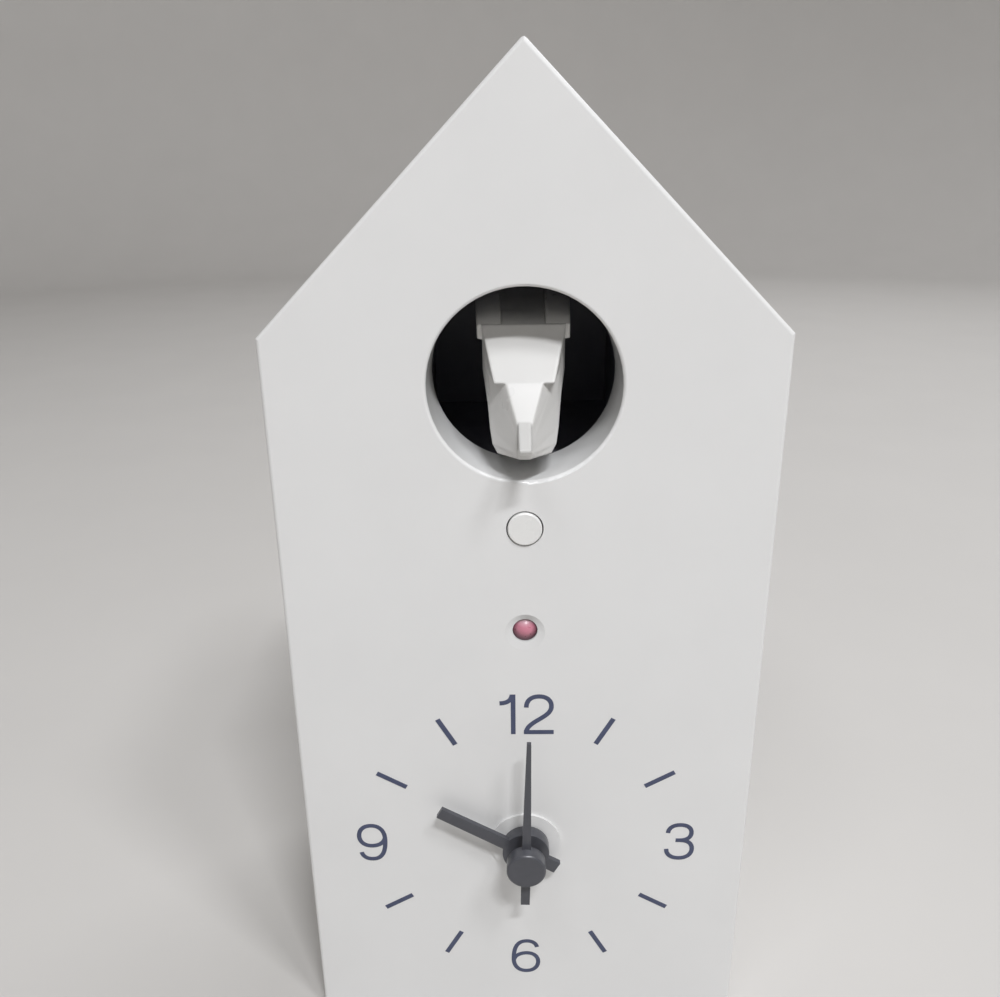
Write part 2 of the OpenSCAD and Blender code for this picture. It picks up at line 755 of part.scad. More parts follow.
middle_turn = mesh_turn(wheel_teeth, 0, pinion_teeth, -90);
motor_turn = mesh_turn(wheel_teeth, middle_turn, pinion_teeth, 180);

module rack_gear() color([0.93, 0.92, 0.88])
    translate([rack_gear_x, front_y + rack_gear_d, 0]) difference() {
        union() {
            wheel(wheel_z, 0);
            translate([0, 0, wheel_z]) cylinder(h = rack_z[1] - wheel_z, r = gear_hub_r);
            translate([0, 0, rack_z[0] - tooth_over])
                linear_extrude(rack_z[1] - rack_z[0] + 2 * tooth_over) gear(rack_teeth, rack_m, 0);
        }
        translate([0, 0, wheel_z - over])
            cylinder(h = rack_z[1] + 2 * over + tooth_over - wheel_z, r = axle_r + running);
    }

module middle_gear() color([0.93, 0.92, 0.88])
    translate([rack_gear_x, front_y + middle_gear_d, 0]) difference() {
        top = wheel_z + wheel_t + tooth_over;
        union() {
            wheel(middle_wheel_z, middle_turn);
            translate([0, 0, middle_wheel_z]) linear_extrude(top - middle_wheel_z)
                gear(pinion_teeth, gear_m, middle_turn);
        }
        translate([0, 0, middle_wheel_z - over])
            cylinder(h = top - middle_wheel_z + 2 * over, r = axle_r + running);
    }

module motor_pinion() color([0.80, 0.70, 0.42])
    translate([motor_x, front_y + middle_gear_d, 0]) {
        low = deck_z - motor_shaft_in;
        pinion_z = middle_wheel_z - tooth_over;
        pinion_t = wheel_t + 2 * tooth_over;
        translate([0, 0, low]) cylinder(h = pinion_z + pinion_t + 1 - low, r = motor_shaft_r);
        difference() {
            translate([0, 0, pinion_z]) linear_extrude(pinion_t)
                gear(pinion_teeth, gear_m, motor_turn);
            translate([0, 0, pinion_z - over]) cylinder(h = pinion_t + 2 * over, r = motor_shaft_r);
        }
    }

// The carriage with the rack at its side and the stem that carries the bird
module bird_carriage() color([0.93, 0.92, 0.88]) difference() {
    tooth = PI * rack_m;
    rack_d = [rack_gear_d - travel - rack_reach, rack_gear_d + rack_reach];
    union() {
        block([carriage_x[0], carriage_d, carriage_z[0] + carriage_lift],
              [carriage_x[1], carriage_d + carriage_l, carriage_z[1]]);
        block([carriage_x[1] - eps, rack_d[0], rack_z[0]],
              [rack_line - dedendum * rack_m, rack_d[1], rack_z[1]]);
        // rack teeth, a gap at the middle of the mesh
        for (k = [ceil(-(travel + rack_reach) / tooth):floor(rack_reach / tooth) - 1])
            translate([rack_line, front_y + rack_gear_d + (k + 0.5) * tooth, rack_z[0]])
                linear_extrude(rack_z[1] - rack_z[0]) rack_tooth(rack_m);
        block([-stem_w / 2, stem_d - stem_l / 2, carriage_z[1] - eps],
              [stem_w / 2, stem_d + stem_l / 2, bird_seat]);
    }
    for (x = rod_x)
        bar([x, rod_z], carriage_d - over, carriage_d + carriage_l + over, rod_r + running);
    post_up([0, stem_d], carriage_z[0] - over, bird_seat + over, small_hole_r);
    post_up([0, stem_d], carriage_z[0] - over, carriage_z[0] + 2, small_head_r + fit);
}

module carriage_screw() color("silver") {
    head_z = carriage_z[0] + 2;
    upright_screw([0, stem_d], head_z, bird_seat + bird_screw_bite - head_z, true);
}

// ---------- bird ----------

// The skin of the bird, front to back, as rings of points [x, depth, z] on its right side from
// the crown down to the keel. Heights are measured from the hole's axis.
bird_rings = [
    [[1.5, -4.0, -8.6], [1.6, -4.0, -10.0], [1.8, -4.2, -12.0],
     [1.8, -4.3, -14.2], [1.6, -3.8, -15.5], [1.1, -3.2, -16.0]],
    [[4.3, 1.8, 0.5], [7.0, 5.4, 0.2], [7.8, 6.1, -4.0],
     [8.1, 5.2, -10.5], [7.5, 3.4, -14.2], [6.3, 1.8, -16.0]],
    [[6.3, 7.5, 6.8], [9.0, 9.8, 8.6], [9.2, 10.0, 1.5],
     [8.2, 9.5, -9.5], [7.6, 9.0, -15.0], [5.6, 8.0, -18.0]],
    [[7.8, 13.0, 12.2], [9.8, 13.0, 11.9], [9.8, 13.5, 1.5],
     [8.4, 13.5, -7.5], [7.8, 13.0, -14.2], [5.4, 13.0, -18.6]],
    [[8.2, 27.0, 13.6], [10.0, 27.0, 13.0], [10.2, 27.0, 2.0],
     [9.6, 27.0, -5.5], [8.4, 27.0, -12.8], [5.2, 27.0, -17.8]],
    [[7.6, 39.0, 16.0], [9.2, 39.0, 15.0], [9.6, 39.0, 6.0],
     [8.8, 39.0, -1.5], [7.2, 39.0, -8.6], [4.4, 39.0, -13.4]],
    [[6.6, tail_d, 17.8], [7.6, tail_d, 16.8], [7.4, tail_d, 14.0],
     [6.8, tail_d, 11.6], [5.8, tail_d, 10.0], [4.4, tail_d, 9.2]]
];

// The flat crown, which stands over the cheeks
crown_rings = [
    [[6.9, 1.8, 0.5], [6.9, 5.4, 0.1]],
    [[9.9, 11.8, 12.5], [9.6, 13.0, 5.0]]
];

// The folded wing in the same way: outlines of its right side, seen from the front
wing_tip_d = tail_d + 1.4;
wing_rings = [
    [[5.2, 12.4, 11.2], [5.3, 12.4, 12.6], [10.9, 12.4, 12.2], [10.9, 12.4, 9.0], [8.8, 12.4, 8.6]],
    [[5.4, 24.0, 11.4], [5.5, 24.0, 14.6], [11.6, 24.0, 14.0], [11.5, 24.0, 7.2], [9.2, 24.0, 6.4]],
    [[5.7, 36.0, 13.6], [5.8, 36.0, 17.2], [12.2, 36.0, 16.4], [12.0, 36.0, 6.6], [8.8, 36.0, 5.4]],
    [[6.0, wing_tip_d, 15.0], [6.1, wing_tip_d, 19.4], [12.6, wing_tip_d, 18.6],
     [12.2, wing_tip_d, 11.0], [8.6, wing_tip_d, 10.0]]
];

// A face of four corners as two triangles, split so that the crease between them stands out
function split(p, q) =
    cross(p[q[1]] - p[q[0]], p[q[2]] - p[q[0]]) * (p[q[3]] - p[q[0]]) > 0
        ? [[q[0], q[1], q[2]], [q[0], q[2], q[3]]]
        : [[q[0], q[1], q[3]], [q[1], q[2], q[3]]];

// The two triangles that close a ring between its points k and k + 1 and those opposite
function closing(k, n) = [
    [k, k + 1, n - 1 - k],
    if (k + 1 < n - 2 - k) [k + 1, n - 2 - k, n - 1 - k]
];

// A closed skin through rings of equal length, each clockwise as seen from the first one's side
module skin(rings) {
    n = len(rings[0]);
    last = len(rings) - 1;
    points = [for (r = rings, p = r) p];
    closed = [for (k = [0:floor((n - 1) / 2) - 1]) each closing(k, n)];
    polyhedron(
        points,
        concat(
            closed,
            [for (i = [0:last - 1], k = [0:n - 1])
                each split(points, [
                    i * n + k, (i + 1) * n + k, (i + 1) * n + (k + 1) % n, i * n + (k + 1) % n
                ])],
            [for (t = closed) [for (k = [2:-1:0]) last * n + t[k]]]
        )
    );
}

function placed(p) = [p[0], front_y + p[1], hole_z + p[2]];
function both_sides(ring) = concat(
    [for (p = ring) placed(p)],
    [for (k = [len(ring) - 1:-1:0]) placed([-ring[k][0], ring[k][1], ring[k][2]])]
);

// The beak, a wedge from the face of the head
module beak() skin([
    both_sides([[1.3, -beak_out, -11.1], [1.4, 0.1 - beak_out, -11.6], [1.1, 1.2 - beak_out, -12.5]]),
    both_sides([[1.5, -3.0, -7.2], [1.6, -3.0, -10.0], [1.5, -3.0, -13.6]])
]);

module wings() for (s = [0, 1]) mirror([s, 0, 0]) skin([for (r = wing_rings) [for (p = r) placed(p)]]);

module bird_body() color([0.88, 0.88, 0.86]) difference() {
    half = [stem_w / 2 + stem_fit, stem_l / 2 + stem_fit];
    union() {
        skin([for (r = bird_rings) both_sides(r)]);
        skin([for (r = crown_rings) both_sides(r)]);
        beak();
    }
    wings();
    // socket of the stem and hole of its screw
    block([-half[0], stem_d - half[1], housing_floor], [half[0], stem_d + half[1], bird_seat]);
    post_up([0, stem_d], bird_seat - over, bird_seat + bird_screw_bite + 1, small_screw_r);
}

module bird_wings() color([0.88, 0.88, 0.86]) wings();

// ---------- control board ----------

module control_board() color([0.10, 0.32, 0.18]) difference() {
    block([-board_w / 2, board_d, board_z[0]], [board_w / 2, board_back, board_z[1]]);
    for (p = board_post_at) bar(p, board_d - over, board_back + over, small_hole_r);
}

module board_screws() color("silver")
    for (p = board_post_at)
        pan_screw(p, board_back, board_screw_l, small_screw_r, small_head_r, small_head_t);

// Sound chip, capacitors and connector on the back of the board
module board_parts() color([0.10, 0.10, 0.11]) {
    box_at([0, sensor_z + chip[2] / 2], board_back, chip);
    for (x = [-1, 1])
        bar([x * (chip[0] + 1), sensor_z - 4], board_back, board_back + capacitor[1], capacitor[0]);
    box_at([0, board_z[0] + plug_socket[2] / 2 + 1], board_back, plug_socket);
}

module button_switch() color([0.75, 0.76, 0.78]) difference() {
    box_at([0, button_z], board_d - switch_body[1], switch_body);
    bar([0, button_z], board_d - switch_body[1] - over, board_d - 1, plunger_r + fit / 2);
}

plunger_d = board_d - switch_body[1] - plunger_l;   // front of the switch's plunger

module switch_plunger() color([0.12, 0.12, 0.13])
    bar([0, button_z], plunger_d, board_d - 1 - press - press_gap, plunger_r);

module push_button() color([0.86, 0.86, 0.84]) {
    lip_d = front_wall + 1.2;
    inner_d = cap_t - cap_out;
    difference() {
        union() {
            bar([0, button_z], cap_edge - cap_out, lip_d, button_r);
            cone([0, button_z], -cap_out, cap_edge - cap_out, button_r - cap_edge, button_r);
            bar([0, button_z], lip_d - eps, lip_d + cap_lip[1], button_r + cap_lip[0]);
        }
        bar([0, button_z], inner_d, lip_d + cap_lip[1] + over, button_r - cap_wall);
    }
    bar([0, button_z], inner_d - eps, plunger_d, button_r / 3);
}

lens_d = dish_d + 0.6;                              // edge of the lens's dome
lens_back = front_wall + ring_l + lens_flange[1];

module light_sensor() color([0.80, 0.62, 0.45])
    bar([0, sensor_z], lens_back + 0.1, board_d, sensor_r);

module sensor_lens() color([0.75, 0.15, 0.22]) {
    bar([0, sensor_z], lens_d, lens_back, lens_r);
    bar([0, sensor_z], lens_back - lens_flange[1], lens_back, lens_r + lens_flange[0]);
    translate([0, front_y + lens_d, sensor_z]) rotate([90, 0, 0]) rotate_extrude() intersection() {
        translate([0, lens_dome_t - lens_dome_r]) circle(lens_dome_r, $fn = 96);
        square([lens_r, lens_dome_r]);
    }
}

// ---------- quartz movement ----------

module move_box(d0, d1, inset)
    plate(d0, d1) translate([0, dial_z]) square(move_w - 2 * inset, center = true);

module movement_front() color([0.12, 0.12, 0.13]) difference() {
    union() {
        difference() {
            move_box(move_d0, move_split, 0);
            move_box(move_d0 + move_wall, move_split + over, move_wall);
        }
        bar([0, dial_z], -bush_out, move_d0 + eps, bush_r);
        bar([0, dial_z], move_d0, hour_wheel_d - end_play, bush_r + 1);
        bar(minute_at, move_d0, hour_wheel_d - end_play, stud_boss_r);
    }
    bar([0, dial_z], -bush_out - over, hour_wheel_d, tube_r + running);
    bar(minute_at, move_d0 + stud_floor, hour_wheel_d, stud_r + running);
}

module movement_back() color([0.13, 0.13, 0.14]) difference() {
    union() {
        difference() {
            move_box(move_split, move_back, 0);
            move_box(move_split - over, move_back - move_wall, move_wall);
        }
        bar([0, dial_z], move_back - arbor_boss_l, move_back, arbor_r + move_wall);
        bar(minute_at, cannon_end + end_play, move_back, stud_boss_r);
        bar(set_at, move_back - set_boss_l, move_back, knob_shaft_r + move_wall);
    }
    bar([0, dial_z], move_back - arbor_boss_l - over, move_back - stud_floor, arbor_r + running);
    bar(minute_at, cannon_end, move_back - stud_floor, stud_r + running);
    bar(set_at, move_back - set_boss_l - over, move_back + over, knob_shaft_r + running);
}

module movement_coil() color([0.72, 0.36, 0.16]) difference() {
    across(coil_l, coil_at, coil_r);
    across(coil_l + 2 * over, coil_at, core_r + running);
}

// The coil's core and the two poles that it joins
module movement_stator() color([0.70, 0.71, 0.73]) {
    across(2 * pole_x, coil_at, core_r);
    for (s = [-1, 1])
        block([s * pole_x - pole_w / 2, coil_at[0] - core_r, coil_at[1] - pole_w / 2],
              [s * pole_x + pole_w / 2, move_back - move_wall - 1.8, coil_at[1] - pole_w / 2 + pole_h]);
}

module movement_board() color([0.12, 0.36, 0.20])
    box_at([0, coil_at[1] + 2], move_back - move_wall - 1.8, [move_board_w, move_board_t, move_board_h]);

module shaft_nut() color([0.25, 0.25, 0.26])
    plate(-dial_boss_t - nut_t, -dial_boss_t) translate([0, dial_z]) difference() {
        circle(nut_r, $fn = 6);
        circle(bush_r + seat);
    }

minute_wheel_turn = mesh_turn(cannon_teeth, 0, minute_teeth, minute_bearing);
hour_wheel_turn = mesh_turn(minute_pinion_teeth, 0, hour_teeth, minute_bearing + 180);
set_turn = mesh_turn(minute_teeth, minute_wheel_turn, cannon_teeth, set_bearing);

// The arbor that carries the minute hand, with its pinion
module centre_arbor() color([0.80, 0.70, 0.42]) {
    bar([0, dial_z], hub_skin - minute_front, move_back - move_wall, arbor_r);
    plate(cannon_d, cannon_end) translate([0, dial_z]) difference() {
        gear(cannon_teeth, motion_m, 0);
        circle(arbor_r - eps);
    }
}

// Wheel, pinion and arbor in one piece
module minute_wheel() color([0.93, 0.92, 0.88]) {
    bar(minute_at, move_d0 + stud_floor + seat, move_back - stud_floor - seat, stud_r);
    plate(cannon_d, cannon_end) translate(minute_at) gear(minute_teeth, motion_m, minute_wheel_turn);
    plate(hour_wheel_d, cannon_d + eps) translate(minute_at) gear(minute_pinion_teeth, hour_m, 0);
}

module hour_wheel() color([0.93, 0.92, 0.88]) difference() {
    union() {
        plate(hour_wheel_d, hour_wheel_d + hour_wheel_t) translate([0, dial_z])
            gear(hour_teeth, hour_m, hour_wheel_turn);
        bar([0, dial_z], -hour_front, hour_wheel_d + eps, tube_r);
    }
    bar([0, dial_z], -hour_front - over, hour_wheel_d + hour_wheel_t + over, arbor_r + running);
}

module set_knob() color([0.15, 0.15, 0.16]) {
    knob_d = well_floor + knob_up;
    plate(cannon_d, cannon_end) translate(set_at) gear(cannon_teeth, motion_m, set_turn);
    bar(set_at, cannon_end - eps, knob_d, knob_shaft_r);
    plate(knob_d, knob_d + knob_t) translate(set_at) difference() {
        circle(knob_r);
        for (k = [1:knob_grooves])
            rotate(360 / knob_grooves * k) translate([knob_r + 0.3, 0]) circle(groove_r, $fn = 16);
    }
}

// ---------- hands ----------

module hour_hand() color([0.24, 0.25, 0.27]) difference() {
    union() {
        bar([0, dial_z], -hour_front, -hub_gap, hour_hub_r);
        plate(-hour_front, hour_t - hour_front) translate([0, dial_z])
            rotate(90 - 30 * hour_shown - minute_shown / 2) polygon([
                [-hour_tail, -hour_w[0] / 2], [hour_l, -hour_w[1] / 2],
                [hour_l, hour_w[1] / 2], [-hour_tail, hour_w[0] / 2]
            ]);
    }
    // room for the nut and the hour tube
    bar([0, dial_z], -bush_out - 0.6, over, nut_r + 0.4);
    bar([0, dial_z], -hour_front - over, over, tube_r);
}

module minute_hand() color([0.24, 0.25, 0.27]) difference() {
    union() {
        bar([0, dial_z], hub_edge - minute_front, -minute_back, minute_hub_r);
        cone([0, dial_z], -minute_front, hub_edge - minute_front,
             minute_hub_r - hub_edge, minute_hub_r);
        plate(-minute_back - minute_blade_t, -minute_back) translate([0, dial_z])
            rotate(-6 * minute_shown) polygon([
                [-minute_w[0] / 2, -minute_tail], [minute_w[0] / 2, -minute_tail],
                [minute_w[1] / 2, 0], [minute_w[2] / 2, minute_l],
                [-minute_w[2] / 2, minute_l], [-minute_w[1] / 2, 0]
            ]);
    }
    bar([0, dial_z], hub_skin - minute_front, over, arbor_r);
}

// ---------- loudspeaker ----------

// Turns an outline of radius and height above the back cover about the speaker's axis
module speaker_turned()
    translate([0, front_y + back_in, speaker_z]) rotate([90, 0, 0]) rotate_extrude() children();

speaker_mouth = speaker_r - speaker_rim[0];   // radius inside the basket's rim

module speaker_basket() color([0.20, 0.20, 0.21]) speaker_turned() polygon([
    [speaker_mouth, 0], [speaker_r, 0], [speaker_r, speaker_rim[1]],
    [speaker_mouth + basket_sheet, speaker_rim[1]],
    [basket_r + basket_sheet, basket_t - basket_sheet], [basket_r + basket_sheet, basket_t],
    [basket_hole_r, basket_t], [basket_hole_r, basket_t - basket_sheet],
    [basket_r, basket_t - basket_sheet], [basket_r, basket_t - 2 * basket_sheet],
    [speaker_mouth, speaker_rim[1] - basket_sheet / 2]
]);

module speaker_magnet() color([0.45, 0.46, 0.48]) speaker_turned() polygon([
    [0, basket_t], [magnet_r - magnet_edge, basket_t], [magnet_r, basket_t + magnet_edge],
    [magnet_r, speaker_t - magnet_edge], [magnet_r - magnet_edge, speaker_t], [0, speaker_t]
]);

// The paper cone with its dust cap and surround, front and back of one sheet
module speaker_cone() color([0.09, 0.09, 0.10]) {
    front = [
        [0, dome[0]], [neck[0] / 2, dome[1]], neck, [speaker_mouth - surround_w, 2 * paper],
        [speaker_mouth - surround_w / 2, 1.5 * paper], [speaker_mouth - 0.1, paper]
    ];
    last = len(front) - 1;
    speaker_turned() polygon(concat(front, [for (k = [last:-1:0]) front[k] + [0, paper]]));
}

// Their threads run towards the back
module speaker_screws() color("silver")
    for (p = speaker_screw_at) mirrored_at(back_in - speaker_rim[1])
        pan_screw(p, back_in - speaker_rim[1], speaker_screw_l, small_screw_r,
                  speaker_head[0], speaker_head[1]);

// ---------- batteries ----------

function cell_z(k) = bay_z0 + cell_edge / 2 + cell_r + k * cell_pitch;
cell_d = bay_d0 + 0.4 + cell_r;
cell_x0 = contact_t[0] + contact_gap - bay_w / 2;   // end of the nub of a cell

// Puts what is drawn for a cell with its nub at the left in the place of cell k
module at_cell(k)
    translate([0, front_y + cell_d, cell_z(k)]) mirror([k % 2, 0, 0]) children();

module batteries() color([0.30, 0.42, 0.55])
    for (k = [0:cells - 1]) at_cell(k) translate([cell_x0, 0, 0]) rotate([0, 90, 0])
        rotate_extrude() polygon([
            [0, 0], [nub_r, 0], [nub_r, nub_l], [cell_r - cell_edge, nub_l],
            [cell_r, nub_l + cell_edge], [cell_r, cell_l - cell_edge],
            [cell_r - cell_edge, cell_l], [0, cell_l]
        ]);

// Contact plates at both ends of each cell; the flat end's plate carries a spring
module battery_contacts() color([0.78, 0.78, 0.76]) {
    spring_x = bay_w / 2 - contact_t[1];
    for (k = [0:cells - 1]) at_cell(k) {
        translate([-bay_w / 2, -contact_w / 2, -contact_w / 2])
            cube([contact_t[0], contact_w, contact_w]);
        translate([spring_x, -contact_w / 2, -contact_w / 2])
            cube([contact_t[1], contact_w, contact_w]);
        spring(cell_x0 + cell_l, spring_x);
    }
}

// A tapered contact spring along x between two planes
module spring(x0, x1) {
    wire = 0.4;
    turns = 4;
    steps = 12 * turns;
    sides = 6;
    function coil(t) = let (a = 360 * turns * t, r = 2.2 + 2.0 * t)
        [x0 + wire + (x1 - x0 - 2 * wire) * t, r * cos(a), r * sin(a)];
    function round_wire(p, out) = [for (s = [0:sides - 1])
        p + wire * (cos(360 * s / sides) * out - sin(360 * s / sides) * [1, 0, 0])];
    skin([for (i = [0:steps])
        let (t = i / steps, a = 360 * turns * t) round_wire(coil(t), [0, cos(a), sin(a)])]);
}

module battery_door() color([0.84, 0.84, 0.82]) difference() {
    top = door_z0 + door_h - door_gap;
    half = door_w / 2 - door_gap;
    union() {
        block([-half, case_d - door_t + door_gap, door_axis_z], [half, case_d, top]);
        across(2 * half, [door_axis_d, door_axis_z], knuckle_r);
        across(2 * (half + pin_l), [door_axis_d, door_axis_z], pin_r);
    }
    // finger grooves and the slots beside the snap tongue
    for (k = [0:2]) let (z = top - 4 - grip_pitch * k)
        block([-grip_w / 2, case_d - grip_t / 2, z], [grip_w / 2, case_d + over, z + grip_t]);
    for (s = [-1, 1])
        block([s * tongue_x - 0.5, case_d - door_t - over, top - tongue_l],
              [s * tongue_x + 0.5, case_d + over, top + over]);
}

// ---------- volume switch ----------

module slide_switch() color([0.75, 0.76, 0.78]) difference() {
    box_at(switch_at, back_in - switch_can[1], switch_can);
    box_at(switch_at, back_in - switch_mouth[1], switch_mouth + [0, over, 0]);
}

module volume_knob() color([0.12, 0.12, 0.13])
    box_at(switch_at, back_in - slider_in, [slider[0], slider_in + cover_t - 0.3, slider[1]]);

front_shell();
back_cover();
cover_screws();
bird_housing();
housing_screws();
slide_frame();
frame_screws();
guide_rods();
gear_plate();
plate_screws();
gear_axles();
drive_motor();
motor_screws();
bird_body();
bird_wings();
bird_carriage();
carriage_screw();
rack_gear();
middle_gear();
motor_pinion();
control_board();
board_parts();
board_screws();
button_switch();
push_button();
switch_plunger();
light_sensor();
sensor_lens();
movement_front();
movement_back();
movement_coil();
movement_stator();
movement_board();
shaft_nut();
centre_arbor();
minute_wheel();
hour_wheel();
set_knob();
minute_hand();
hour_hand();
speaker_basket();
speaker_magnet();
speaker_cone();
speaker_screws();
batteries();
battery_contacts();
battery_door();
slide_switch();
volume_knob();
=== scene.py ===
"""The looks of the cuckoo clock: finishes, the printed dial, the floor, lights and camera."""

import json
import math

import bpy
from mathutils import Matrix, Vector


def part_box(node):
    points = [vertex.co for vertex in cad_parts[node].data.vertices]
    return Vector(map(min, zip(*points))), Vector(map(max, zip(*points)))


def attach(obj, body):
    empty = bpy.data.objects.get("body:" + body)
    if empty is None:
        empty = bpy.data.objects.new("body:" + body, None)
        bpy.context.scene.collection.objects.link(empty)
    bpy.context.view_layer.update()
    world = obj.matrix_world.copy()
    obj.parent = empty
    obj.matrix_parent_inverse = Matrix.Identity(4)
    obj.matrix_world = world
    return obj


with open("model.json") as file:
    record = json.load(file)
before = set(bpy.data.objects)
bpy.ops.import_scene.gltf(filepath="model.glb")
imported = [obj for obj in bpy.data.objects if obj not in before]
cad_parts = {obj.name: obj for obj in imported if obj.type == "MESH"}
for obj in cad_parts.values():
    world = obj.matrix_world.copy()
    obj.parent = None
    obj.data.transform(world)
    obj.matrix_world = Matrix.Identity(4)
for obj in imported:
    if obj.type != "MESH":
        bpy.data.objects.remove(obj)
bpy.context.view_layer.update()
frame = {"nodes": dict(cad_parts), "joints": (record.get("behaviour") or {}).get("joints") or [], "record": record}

MM = 0.001
nodes = frame["nodes"]
record = frame["record"]

# Places that the finishes and the print need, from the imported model
FRONT_Y = -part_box("back_cover")[1].y
DIAL = Vector(next(j["pos_m"] for j in frame["joints"] if j["name"] == "minute_turn"))
DIAL.y = FRONT_Y
TUNNEL = next(o["box_m"] for o in record["physics"]["openings"] if o["name"] == "tunnel_left")
HOLE_Z = (TUNNEL[0][2] + TUNNEL[1][2]) / 2
HOLE_R = 22.4       # radius of the bird hole, in millimetres
DISH_R = 5.05       # radius of the dish round the sensor's lens
LENS_R = 3.1        # radius of the lens


# ---------------------------------------------------------------- materials

class Finish:
    """A node material that starts from one Principled shader."""

    def __init__(self, name, colour, roughness, **sockets):
        self.material = bpy.data.materials.new(name)
        self.material.use_nodes = True
        self.tree = self.material.node_tree
        self.shader = self.tree.nodes["Principled BSDF"]
        self.shader.inputs["Base Color"].default_value = (*colour, 1)
        self.shader.inputs["Roughness"].default_value = roughness
        for socket, value in sockets.items():
            self.shader.inputs[socket.replace("_", " ")].default_value = value
        self.colour = colour
        self.roughness = roughness
        self.places = None

    def add(self, kind, **settings):
        """A new node with its settings."""
        made = self.tree.nodes.new(kind)
        for key, value in settings.items():
            setattr(made, key, value)
        return made

    def link(self, source, target):
        self.tree.links.new(source, target)

    def place(self):
        """The point being shaded, in the row frame, in millimetres."""
        if self.places is None:
            scale = self.add("ShaderNodeVectorMath", operation="SCALE")
            scale.inputs["Scale"].default_value = 1 / MM
            self.link(self.add("ShaderNodeTexCoord").outputs["Object"], scale.inputs[0])
            self.places = scale.outputs[0]
        return self.places

    def sum(self, first, second, operation="ADD"):
        """Two factors, or a factor and a number, put together."""
        math_node = self.add("ShaderNodeMath", operation=operation)
        for source, target in zip((first, second), math_node.inputs):
            if isinstance(source, (int, float)):
                target.default_value = source
            else:
                self.link(source, target)
        return math_node.outputs[0]

    def stretched(self, stretch):
        """The place with each axis multiplied, so that patterns draw out along the small ones."""
        product = self.add("ShaderNodeVectorMath", operation="MULTIPLY")
        product.inputs[1].default_value = stretch
        self.link(self.place(), product.inputs[0])
        return product.outputs[0]

    def noise(self, size, detail, stretch=(1, 1, 1)):
        """Noise whose patches are about size millimetres across."""
        noise = self.add("ShaderNodeTexNoise")
        noise.inputs["Scale"].default_value = 1 / size
        noise.inputs["Detail"].default_value = detail
        self.link(self.stretched(stretch), noise.inputs["Vector"])
        return noise.outputs["Fac"]

    def waves(self, pitch, axis, distortion=0.0):
        """Even ridges, pitch millimetres apart along an axis."""
        waves = self.add("ShaderNodeTexWave", bands_direction=axis)
        waves.inputs["Scale"].default_value = math.pi / 10 / pitch
        waves.inputs["Distortion"].default_value = distortion
        self.link(self.place(), waves.inputs["Vector"])
        return waves.outputs["Fac"]

    def spread(self, factor, low, high, span=(0.3, 0.7)):
        """Maps a factor to the values between low and high."""
        ramp = self.add("ShaderNodeMapRange")
        ramp.inputs["From Min"].default_value, ramp.inputs["From Max"].default_value = span
        ramp.inputs["To Min"].default_value, ramp.inputs["To Max"].default_value = low, high
        self.link(factor, ramp.inputs["Value"])
        return ramp.outputs["Result"]

    def away(self, centre):
        """Distance in millimetres from an axis along Y, at centre (x, z) in millimetres."""
        split = self.add("ShaderNodeSeparateXYZ")
        flat = self.add("ShaderNodeCombineXYZ")
        distance = self.add("ShaderNodeVectorMath", operation="DISTANCE")
        self.link(self.place(), split.inputs[0])
        self.link(split.outputs["X"], flat.inputs["X"])
        self.link(split.outputs["Z"], flat.inputs["Z"])
        self.link(flat.outputs[0], distance.inputs[0])
        distance.inputs[1].default_value = (centre[0], 0, centre[1])
        return distance.outputs["Value"]

    def tint(self, factor, amount):
        """Lets the colour vary by amount either way with a factor."""
        value = self.add("ShaderNodeHueSaturation")
        value.inputs["Color"].default_value = (*self.colour, 1)
        self.link(self.spread(factor, 1 - amount, 1 + amount), value.inputs["Value"])
        self.link(value.outputs["Color"], self.shader.inputs["Base Color"])
        return self

    def blend(self, factor, other):
        """Mixes in another colour where the factor is 1."""
        base = self.shader.inputs["Base Color"]
        mix = self.add("ShaderNodeMix", data_type="RGBA")
        mix.inputs["A"].default_value = (*self.colour, 1)
        if base.is_linked:
            self.link(base.links[0].from_socket, mix.inputs["A"])
        mix.inputs["B"].default_value = (*other, 1)
        self.link(factor, mix.inputs["Factor"])
        self.link(mix.outputs["Result"], base)
        return self

    def polish(self, factor, amount):
        """Lets the roughness vary by amount either way with a factor."""
        result = self.spread(factor, self.roughness - amount, self.roughness + amount)
        self.link(result, self.shader.inputs["Roughness"])
        return self

    def bump(self, factor, height):
        """Raises the surface by height millimetres where the factor is 1."""
        bump = self.add("ShaderNodeBump")
        bump.inputs["Strength"].default_value = 1
        bump.inputs["Distance"].default_value = height * MM
        self.link(factor, bump.inputs["Height"])
        if self.shader.inputs["Normal"].is_linked:
            self.link(self.shader.inputs["Normal"].links[0].from_socket, bump.inputs["Normal"])
        self.link(bump.outputs["Normal"], self.shader.inputs["Normal"])
        return self

    def rounded(self, radius):
        """Shades edges as if they were rounded by radius millimetres."""
        bevel = self.add("ShaderNodeBevel")
        bevel.samples = 8
        bevel.inputs["Radius"].default_value = radius * MM
        self.link(bevel.outputs["Normal"], self.shader.inputs["Normal"])
        return self

    def flattened(self, share, inside):
        """Shades the surface as if it leaned less out of the front face where inside is 1."""
        mix = self.add("ShaderNodeMix", data_type="VECTOR")
        unit = self.add("ShaderNodeVectorMath", operation="NORMALIZE")
        self.link(self.spread(inside, 0, share, (0, 1)), mix.inputs["Factor"])
        self.link(self.shader.inputs["Normal"].links[0].from_socket, mix.inputs["A"])
        mix.inputs["B"].default_value = (0, -1, 0)
        self.link(mix.outputs["Result"], unit.inputs[0])
        self.link(unit.outputs[0], self.shader.inputs["Normal"])
        return self


